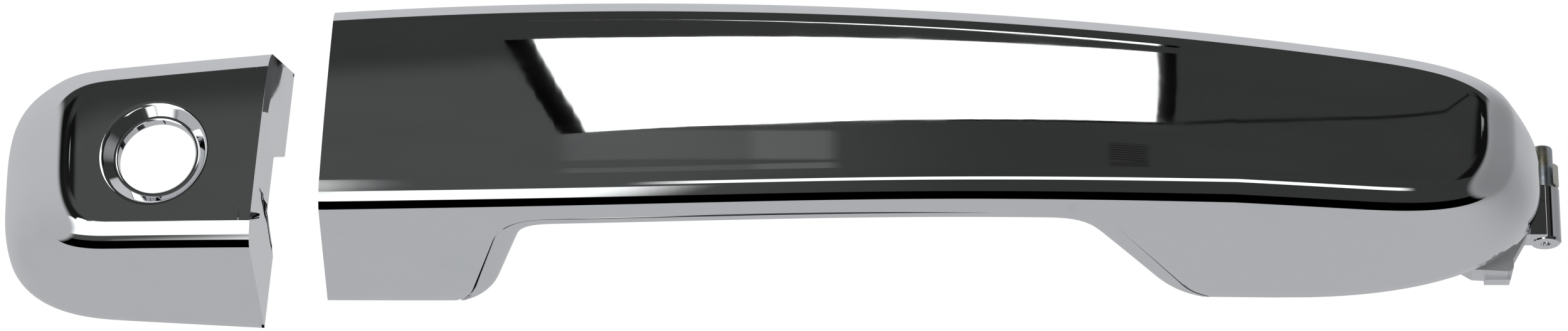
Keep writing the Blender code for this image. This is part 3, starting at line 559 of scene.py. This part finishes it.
def rolled(points):
    """Moves the front back by an arc past ROLL_X, fading out towards the door."""
    x, y = points[..., 0], points[..., 1]
    past = np.clip(x - ROLL_X, 0, ROLL_RADIUS * ROLL_MOST)
    sag = ROLL_RADIUS - np.sqrt(ROLL_RADIUS ** 2 - past ** 2)
    share = np.clip((y - face_y(x)) / (BACK_Y - face_y(x)), 0, 1)
    points = points.copy()
    points[..., 1] = y + sag * (1 - share) ** ROLL_FADE
    return points


steep = np.concatenate([seam_line[::2, 0], seam_line[[0, -1], 0] + [-0.00001, 0.00001]])
even = np.arange(GRIP["flat_x"][1], GRIP["round_x"][1], COLUMN_STEP)
grip_columns = columns_at(GRIP, np.concatenate([even, steep]))
grip_turns = closing(44)
grip_rings = shell_rings(GRIP, grip_columns, grip_turns, np.linspace(1, 0, 15), seam_y, FACE_RUNGS)
count = len(grip_columns) + len(grip_turns)
lower, upper = grip_rings[-1][:count], grip_rings[-1][count - 1:2 * count - 1][::-1]
shares = np.linspace(0, 1, FACE_RUNGS + 1)[:, None]
grip_face = lower[None] + (upper - lower)[None] * shares[..., None]
height = upper[:, 2] - lower[:, 2]
swell = crown_at(shares, height[None], height.max())
grip_face[..., 1] -= swell
grip_rings[-1][2 * count - 1:, 1] -= swell[1:-1, 0][::-1]
grip_tables = [(rolled(grip_rings), True), (rolled(grip_face), False)]
piece_from("grip_outer_moulding", grip_tables, "chrome_plate", "grip", ("grip_outer_shell",), SHELL_WALL,
           (0.0, -0.2, -0.01))

# %% [markdown]
# ## Grip, back shell
#
# The back shell lines the finger gap, where a hand pulls, so its edges are rounded over by 2 mm. It is
# a profile carried along the bay's line: wall, quarter round, the broad back, quarter round, wall. The
# walls take their heights from the same edges as the outer shell, so that only the seam parts them.

# %% Grip back shell
ROUND = 0.0021
BACK_SWELL, BACK_WALL = 0.0006, 0.0014
SPOTS = 420


def evenly(line, count):
    """The same line with `count` points at equal steps, its ends brought to the door line."""
    run = np.concatenate([[0], np.cumsum(np.linalg.norm(np.diff(line, axis=0), axis=1))])
    at = np.linspace(0, run[-1], count)
    even = np.stack([np.interp(at, run, line[:, k]) for k in range(2)], axis=-1)
    even[[0, -1], 1] = BACK_Y
    return even


inner_line, outer_line = evenly(bay, SPOTS), evenly(gap_line(BAND), SPOTS)
along = np.gradient(inner_line, axis=0)
normals = np.stack([along[:, 1], -along[:, 0]], axis=-1) / np.linalg.norm(along, axis=1)[:, None]


def wall_heights(plan):
    """Lower and upper height of the grip's walls at places seen from above, with their draft."""
    deep = (plan[:, 1] - face_y(plan[:, 0])) / (BACK_Y - face_y(plan[:, 0]))
    low, high = grip_edges(plan[:, 0], deep)
    spread = DRAFT * (plan[:, 1] - face_y(plan[:, 0]))
    return low - spread, high + spread


def band_row(depth, rise, upper):
    """One row of the back shell: `depth` into the grip, `rise` away from the wall's own height."""
    plan = inner_line + (outer_line - inner_line) * depth / BAND
    edge = wall_heights(plan)[1 if upper else 0]
    return np.column_stack([plan, edge - rise if upper else edge + rise])


def band_side(upper):
    """Rows from the band's outer edge to its broad back: the wall, then a quarter round."""
    rows = [band_row(depth, 0.0, upper) for depth in np.linspace(BAND, ROUND, 4)]
    for turn in np.linspace(0, np.pi / 2, 10)[1:]:
        rows.append(band_row(ROUND * (1 - np.sin(turn)), ROUND * (1 - np.cos(turn)), upper))
    return rows


under, over = band_side(False), band_side(True)
broad = []
for share in np.linspace(0, 1, 15)[1:-1]:
    row = under[-1] * (1 - share) + over[-1] * share
    row[:, :2] -= normals * BACK_SWELL * (4 * share * (1 - share))
    row[:, 1] = np.minimum(row[:, 1], BACK_Y)
    broad.append(row)
band_table = np.array(under + broad + over[::-1])
piece_from("grip_back_moulding", [(band_table, False)], "chrome_plate", "grip", ("grip_back_shell",), BACK_WALL,
           (0.0, 0.05, -0.009))

# %% [markdown]
# ## Lock cap
#
# The cap has a round key opening in its bowed face, and a mirror shows every dent round a hole that a
# Boolean leaves. So the face is a table too: its outer ring is the cap's outline and its inner ring is
# the circle of the key opening, and the rings between them blend one into the other. The same table
# goes on over the rounded rim, down the cone, across a small ledge and along the lip. Each row of that
# recess is given as a depth and a radius. So the whole cap is one skin with no seam.

# %% Lock cap
KEY_X, KEY_Z = -0.1064, -0.0162
KEY_RIM, KEY_HOLE = 0.0096, 0.0067
CONE_DEPTH, LIP_DEPTH = 0.0027, 0.0047
RIM_ROUND, RIM_TURN, LEDGE = 0.0009, np.radians(52), 0.0007
NOTCH_Z, NOTCH_Y = (-0.0214, -0.0206, -0.0104, -0.0031), -0.0195
CAP_WALL, CAP_TALL = 0.0020, 0.034
CAP_RUNGS = 72
CAP_TURNS = 60


def cap_end_back(z):
    """Depth of the end wall's back edge: the door line, with a notch round the latch spring."""
    return np.interp(z, NOTCH_Z, [BACK_Y, NOTCH_Y, NOTCH_Y, BACK_Y])


cap_columns = np.linspace(0, 1, 40, endpoint=False)
cap_rings = shell_rings(CAP, cap_columns, closing(CAP_TURNS), np.linspace(1, 0, 18),
                        lambda x: np.full_like(np.asarray(x, float), BACK_Y), CAP_RUNGS, cap_end_back)
edge = cap_rings[-1]
count = len(cap_columns) + CAP_TURNS
lows, highs = edge[:count], edge[count - 1:2 * count - 1]


def cap_face_y(x, z):
    """The bowed face with its swell, between the outline's lower and upper edge at x."""
    low = np.interp(x, lows[::-1, 0], lows[::-1, 2])
    high = np.interp(x, highs[:, 0], highs[:, 2])
    span = np.maximum(high - low, 1e-6)
    return face_y(x) - crown_at(np.clip((z - low) / span, 0, 1), span, CAP_TALL)


angle = np.arctan2(edge[:, 2] - KEY_Z, edge[:, 0] - KEY_X)
spokes = np.column_stack([np.cos(angle), np.sin(angle)])
edge[:, 1] = cap_face_y(edge[:, 0], edge[:, 2])
rows = list(cap_rings)
for share in np.linspace(0, 1, 30)[1:]:
    x = edge[:, 0] * (1 - share) + (KEY_X + KEY_RIM * spokes[:, 0]) * share
    z = edge[:, 2] * (1 - share) + (KEY_Z + KEY_RIM * spokes[:, 1]) * share
    rows.append(np.column_stack([x, cap_face_y(x, z), z]))
slope = (KEY_X - BOW_X) / BOW_RADIUS
inward = np.array([-slope, 1.0]) / np.hypot(slope, 1.0)
sideward = np.array([inward[1], -inward[0]])
over_rim = np.linspace(0, RIM_TURN, 9)[1:]
recess = [(RIM_ROUND * (1 - np.cos(a)), KEY_RIM - RIM_ROUND * np.sin(a)) for a in over_rim]
cone_start, cone_end = np.array(recess[-1]), np.array([CONE_DEPTH, KEY_HOLE + LEDGE])
recess += [tuple(cone_start + (cone_end - cone_start) * s) for s in np.linspace(0, 1, 9)[1:]]
recess += [(CONE_DEPTH - 0.00008, KEY_HOLE + 0.0005), (CONE_DEPTH - 0.00008, KEY_HOLE + 0.0002)]
recess += [(CONE_DEPTH + 0.0001, KEY_HOLE)]
recess += [(depth, KEY_HOLE) for depth in np.linspace(CONE_DEPTH + 0.0006, LIP_DEPTH, 6)]
middle = np.array([KEY_X, cap_face_y(np.array([KEY_X + KEY_RIM]), np.array([KEY_Z]))[0] + 0.0002])
rim_plan = middle[None] + spokes[:, :1] * KEY_RIM * sideward[None]
rim_lift = rows[-1][:, 1] - rim_plan[:, 1]
for depth, radius in recess:
    plan = middle[None] + inward[None] * depth + spokes[:, :1] * radius * sideward[None]
    plan[:, 1] += rim_lift * max(0.0, 1 - depth / CONE_DEPTH)
    rows.append(np.column_stack([plan, KEY_Z + radius * spokes[:, 1]]))
piece_from("lock_cap_moulding", [(np.array(rows), True)], "chrome_plate", "cap", ("lock_cap",), CAP_WALL,
           (-0.1150, -0.2, -0.0300))

# %% [markdown]
# ## The works behind
#
# The hinge arm, frame, crank and screws are already right in shape. On the real pieces no edge is
# sharp: moulds and dies round them by a few tenths. A copy of each solid, merged and with its flat
# triangles joined into whole faces, takes a Bevel that catches the light the way the real edge does.

# %% Rounded copies of the working pieces
EDGE_OF = {"frame": 0.00035, "bell_crank": 0.00030, "pull_arm": 0.00035, "hinge_arm": 0.00030,
           "cap_carrier": 0.00025, "cap_latch_spring": 0.00010, "lever_pin_clip": 0.00008}


def rounded_copy(node, width):
    """The node's solid with its doubles merged, its flats joined and its edges rounded."""
    skin = bmesh.new()
    skin.from_mesh(nodes[node].data)
    bmesh.ops.remove_doubles(skin, verts=skin.verts, dist=1e-6)
    bmesh.ops.dissolve_limit(skin, angle_limit=np.radians(1.0), verts=skin.verts, edges=skin.edges)
    mesh = bpy.data.meshes.new(node + "_rounded")
    skin.to_mesh(mesh)
    skin.free()
    finish = CAST_ARM if node == "hinge_arm" else None
    piece = placed(node + "_rounded", mesh, SLOT_OF[node], BODY_OF[node], (node,), crease=32.0, finish=finish)
    soft = piece.modifiers.new("edges", "BEVEL")
    soft.width, soft.segments = width, 2
    soft.limit_method, soft.angle_limit = "ANGLE", np.radians(32)
    return piece


remade = {"grip_outer_shell", "grip_back_shell", "lock_cap", "return_spring", "hinge_pin"}
for node in sorted(set(nodes) - remade):
    rounded_copy(node, EDGE_OF.get(node, 0.00018))

# %% [markdown]
# ## Hinge pin and return spring
#
# A turned pin and a wound spring are the two pieces where facets would show most. The pin is a profile
# turned about the hinge line. The spring is a circle carried along a helix that ends in a straight leg.


# %% Turned and wound pieces
def turned_about_z(x, y, profile, steps=64):
    """Rows of a turned surface: each (height, radius) of the profile becomes one circle."""
    turn = np.linspace(0, 2 * np.pi, steps, endpoint=False)
    circle = np.stack([np.cos(turn), np.sin(turn), 0 * turn], axis=-1)
    return np.array([[x, y, height] + circle * radius for height, radius in profile])


def wound(path, radius, steps=14):
    """Rows of a tube: a circle of the wire's radius, square to the path at each of its points."""
    ahead = np.gradient(path, axis=0)
    ahead /= np.linalg.norm(ahead, axis=1)[:, None]
    side = np.cross(ahead, [0.31, 0.52, 0.79])
    side /= np.linalg.norm(side, axis=1)[:, None]
    over = np.cross(ahead, side)
    turn = np.linspace(0, 2 * np.pi, steps, endpoint=False)[:, None, None]
    tube = path + radius * (np.cos(turn) * side + np.sin(turn) * over)
    return np.swapaxes(tube, 0, 1)


low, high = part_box("hinge_pin")
pin_x, pin_y = (low.x + high.x) / 2, (low.y + high.y) / 2
thick, thin, step_z = (high.x - low.x) / 2, 0.0013, -0.0056
pin_profile = [(low.z, 0.0), (low.z, thin - 0.0002), (low.z + 0.0002, thin), (step_z, thin),
               (step_z, thick - 0.0001), (step_z + 0.0001, thick), (high.z - 0.0005, thick),
               (high.z - 0.0002, thick - 0.00015), (high.z, thick - 0.0006), (high.z, 0.0)]
piece_from("hinge_pin_turned", [(turned_about_z(pin_x, pin_y, pin_profile), True)], "plated_steel", "grip",
           ("hinge_pin",), outside=(pin_x, pin_y - 0.02, 0.0))

low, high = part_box("return_spring")
WIRE_RADIUS, COIL_RADIUS, COIL_TURNS = 0.00042, 0.0033, 3.25
axle_y, axle_z = high.y - COIL_RADIUS - WIRE_RADIUS, high.z - COIL_RADIUS - WIRE_RADIUS
coil = np.linspace(0, 1, 240)
spin = np.pi - 2 * np.pi * COIL_TURNS * coil
start_x, end_x = low.x + WIRE_RADIUS, high.x - WIRE_RADIUS
helix = np.column_stack([start_x + (end_x - start_x) * coil, axle_y + COIL_RADIUS * np.cos(spin),
                         axle_z + COIL_RADIUS * np.sin(spin)])
leg = np.column_stack([np.full(30, start_x), np.linspace(low.y + WIRE_RADIUS, helix[0, 1], 30),
                       np.linspace(low.z + WIRE_RADIUS, helix[0, 2] - 0.0004, 30)])
piece_from("return_spring_wound", [(wound(np.concatenate([leg, helix]), WIRE_RADIUS), True)], "spring_steel",
           "door_frame", ("return_spring",), outside=(start_x, axle_y - 0.02, axle_z))

# %% [markdown]
# ## Studio
#
# A chrome piece shows its room, so the room is built for it. It is dark in front, pale behind, above and
# to the sides, with bright strips low down and a black card below them. `climb` is the angle of a ray
# above straight ahead, in degrees, and `east` is how far it points to the right, from -1 to 1. The world
# works all of this out from the direction of a ray alone. The soft box is a glowing sheet with a black
# cloth behind it, so that its mirror image has a dark border. Rays from the camera see plain white.

# %% Room, soft box, floor and camera
scene = bpy.context.scene
scene.view_settings.view_transform = "Standard"
room = bpy.data.worlds.new("studio_room")
scene.world = room
room.use_nodes = True
room.node_tree.nodes.clear()
ray = Wire(room.node_tree)
heading = ray.node("ShaderNodeTexCoord")
east, north, up = (ray.node("ShaderNodeSeparateXYZ", None, {"Vector": heading}, output=k) for k in range(3))
climb = ray.math("ARCTAN2", up, north * -1.0) * (180 / np.pi)


def between(wire, low, high, soft):
    """1 between two values, with an edge `soft` wide."""
    return wire.ramp(low - soft, low + soft) * (1 - wire.ramp(high - soft, high + soft))


cloud = ray.node("ShaderNodeTexNoise", None, {"Vector": heading, "Scale": 9.0, "Detail": 3.0})
far_left = 1 - east.ramp(-0.34, -0.22)
dark_front = between(climb, -128.0, 69.0, 1.5)
black_card = between(climb, -128.0, -85.0, 2.0)
sideways = ray.math("ABSOLUTE", east)
to_side = sideways.ramp(0.69, 0.80)
doorway = sideways.ramp(0.50, 0.57) * between(climb, -8.0, 48.0, 3.0)
left_strip = between(climb, -84.0, -45.0, 1.5) * (1 - east.ramp(-0.10, -0.02))
torn_edge = (climb + 26.0 * (cloud - 0.5)).ramp(-4.0, 0.0)
far_strip = far_left * climb.ramp(-64.0, -60.0) * (1 - torn_edge)
right_strip = between(climb, -37.0, -26.0, 1.0) * between(east, -0.06, 0.34, 0.03)
two_tone = 0.5 + 0.5 * east.ramp(-0.03, -0.02)
panel = between(climb, 11.0, 16.5, 0.3) * between(east, -0.13, 0.02, 0.006) * two_tone
slats = ray.math("SINE", climb * 14.0 + east * 60.0).ramp(-0.2, 0.2)
vent = between(climb, 12.5, 16.0, 0.2) * between(east, 0.165, 0.187, 0.002) * slats
ledge = climb - 20.9 - 52.0 * (east - 0.21)
cornice = between(ledge, -0.35, 0.35, 0.25) * east.ramp(0.19, 0.22)
upper_wall = climb.ramp(28.0, 34.0)
left_wall = (1 - upper_wall) * (1 - east.ramp(-0.10, 0.12))
room_grey = 0.031 + 0.034 * left_wall + 0.06 * panel + 0.010 * cloud - 0.024 * vent - 0.026 * cornice
strips = ray.math("MAXIMUM", ray.math("MAXIMUM", left_strip * (1 - far_left), right_strip), far_strip)
front = room_grey * (1 - black_card) * (1 - doorway * 0.85) * (1 - strips) + strips * 1.25
side_fall = 1 - 0.50 * east.ramp(0.30, 0.95)
pale = (0.455 + 0.10 * up.ramp(-0.2, 0.9)) * side_fall
dark = dark_front * (1 - to_side)
grey = dark * front + (1 - dark) * pale
blue = grey * (0.99 + 0.035 * (1 - dark))
tint = ray.node("ShaderNodeCombineColor", None, {"Red": grey * 0.985, "Green": grey, "Blue": blue})
lit = ray.node("ShaderNodeBackground", None, {"Color": tint, "Strength": 1.0})
plain = ray.node("ShaderNodeBackground", None, {"Color": (1.0, 1.0, 1.0, 1.0), "Strength": 1.0})
seen = ray.node("ShaderNodeLightPath")
shown = ray.node("ShaderNodeMixShader", None, {"Fac": seen, 1: lit, 2: plain})
ray.node("ShaderNodeOutputWorld", None, {"Surface": shown})

middle = Vector((0.0, -0.020, -0.0122))


def aimed(holder, name, place, target):
    """An object for a light or camera at `place`, looking at `target`."""
    made = bpy.data.objects.new(name, holder)
    scene.collection.objects.link(made)
    made.location = place
    made.rotation_euler = (Vector(target) - Vector(place)).to_track_quat("-Z", "Y").to_euler()
    return made


def area_light(name, place, size, radiance):
    """A flat light; its power is the radiance times pi times its area."""
    lamp = bpy.data.lights.new(name, "AREA")
    lamp.shape = "RECTANGLE"
    lamp.size, lamp.size_y = size
    lamp.energy = radiance * np.pi * size[0] * size[1]
    return aimed(lamp, name, place, middle)


def on_sphere(side, climb_angle, distance):
    """A place at a distance, `side` degrees to the right of straight ahead and so many degrees up."""
    a, b = np.radians(side), np.radians(climb_angle)
    return middle + Vector((np.sin(a) * np.cos(b), -np.cos(a) * np.cos(b), np.sin(b))) * distance


fill = area_light("fill_light", on_sphere(-20.0, 55.0, 1.6), (0.9, 0.6), 2.2)
fill.visible_glossy = False
back_fill = area_light("back_light", on_sphere(160.0, 40.0, 1.6), (0.9, 0.6), 2.2)
back_fill.visible_glossy = False


def stage_sheet(name, corners, finish):
    """A flat sheet between four corners (x to the right, y up), turned to face the object."""
    steps = np.linspace(0, 1, 13)
    low_left, low_right, high_right, high_left = (np.array(corner) for corner in corners)
    across, over = steps[None, :, None], steps[:, None, None]
    flat = (low_left * (1 - across) + low_right * across) * (1 - over)
    flat = flat + (high_left * (1 - across) + high_right * across) * over
    table = np.dstack([flat, np.zeros(flat.shape[:2])])
    mesh = bpy.data.meshes.new(name)
    mesh.from_pydata(table.reshape(-1, 3).tolist(), [], grid_faces(13, 13, 0).tolist())
    mesh.materials.append(finish)
    return mesh


def set_up(mesh, place, camera_sees=False):
    """A sheet as part of the studio: it casts no shadow, and only the floor shows to the camera."""
    card = aimed(mesh, mesh.name, place, middle)
    card.visible_camera = camera_sees
    card.visible_shadow = False
    return card


def paper(wire):
    cloudy = wire.noise(3.0)
    return {"Base Color": cloudy.mixed((0.82, 0.82, 0.81, 1), (0.86, 0.86, 0.85, 1)), "Roughness": 0.95}


def black_cloth(wire):
    return {"Base Color": (0.001, 0.001, 0.001, 1), "Roughness": 1.0, "Specular IOR Level": 0.0}


def glow(wire):
    cloudy = wire.noise(2.2, 3.0)
    return {"Base Color": (0, 0, 0, 1), "Emission Color": cloudy.mixed((0.62, 0.63, 0.60, 1), (1, 1, 1, 1)),
            "Emission Strength": 1.6, "Specular IOR Level": 0.0}


box_corners = [(-0.252, -0.262), (0.312, -0.150), (0.316, 0.232), (-0.285, 0.262)]
flag_corners = [(-0.282, -0.272), (0.334, -0.162), (0.338, 0.236), (-0.318, 0.266)]
box_place = on_sphere(1.6, 26.0, 1.5)
set_up(stage_sheet("soft_box", box_corners, finish_of("soft_box_glow", glow)), box_place)
flag = set_up(stage_sheet("black_flag", flag_corners, finish_of("black_flag_cloth", black_cloth)),
              on_sphere(1.6, 26.0, 1.52))
flag.visible_diffuse = False
far = 7.0
ground = [(-far, -far), (far, -far), (far, far), (-far, far)]
floor_sheet = stage_sheet("studio_floor", ground, finish_of("studio_floor_paper", paper))
floor = set_up(floor_sheet, (0, 0, -0.62), camera_sees=True)
floor.rotation_euler = (0.0, 0.0, 0.0)
floor.visible_glossy = False

camera = bpy.data.cameras.new("camera")
camera.sensor_fit = "HORIZONTAL"
camera.sensor_width, camera.lens = 36.0, 161.2
camera.clip_start, camera.clip_end = 0.01, 50.0
view_down = np.radians(-23.5)
eye = middle - Vector((0, np.cos(view_down), -np.sin(view_down))) * 1.2
scene.camera = aimed(camera, "camera", eye, middle)
print("camera at", [round(v, 4) for v in eye])
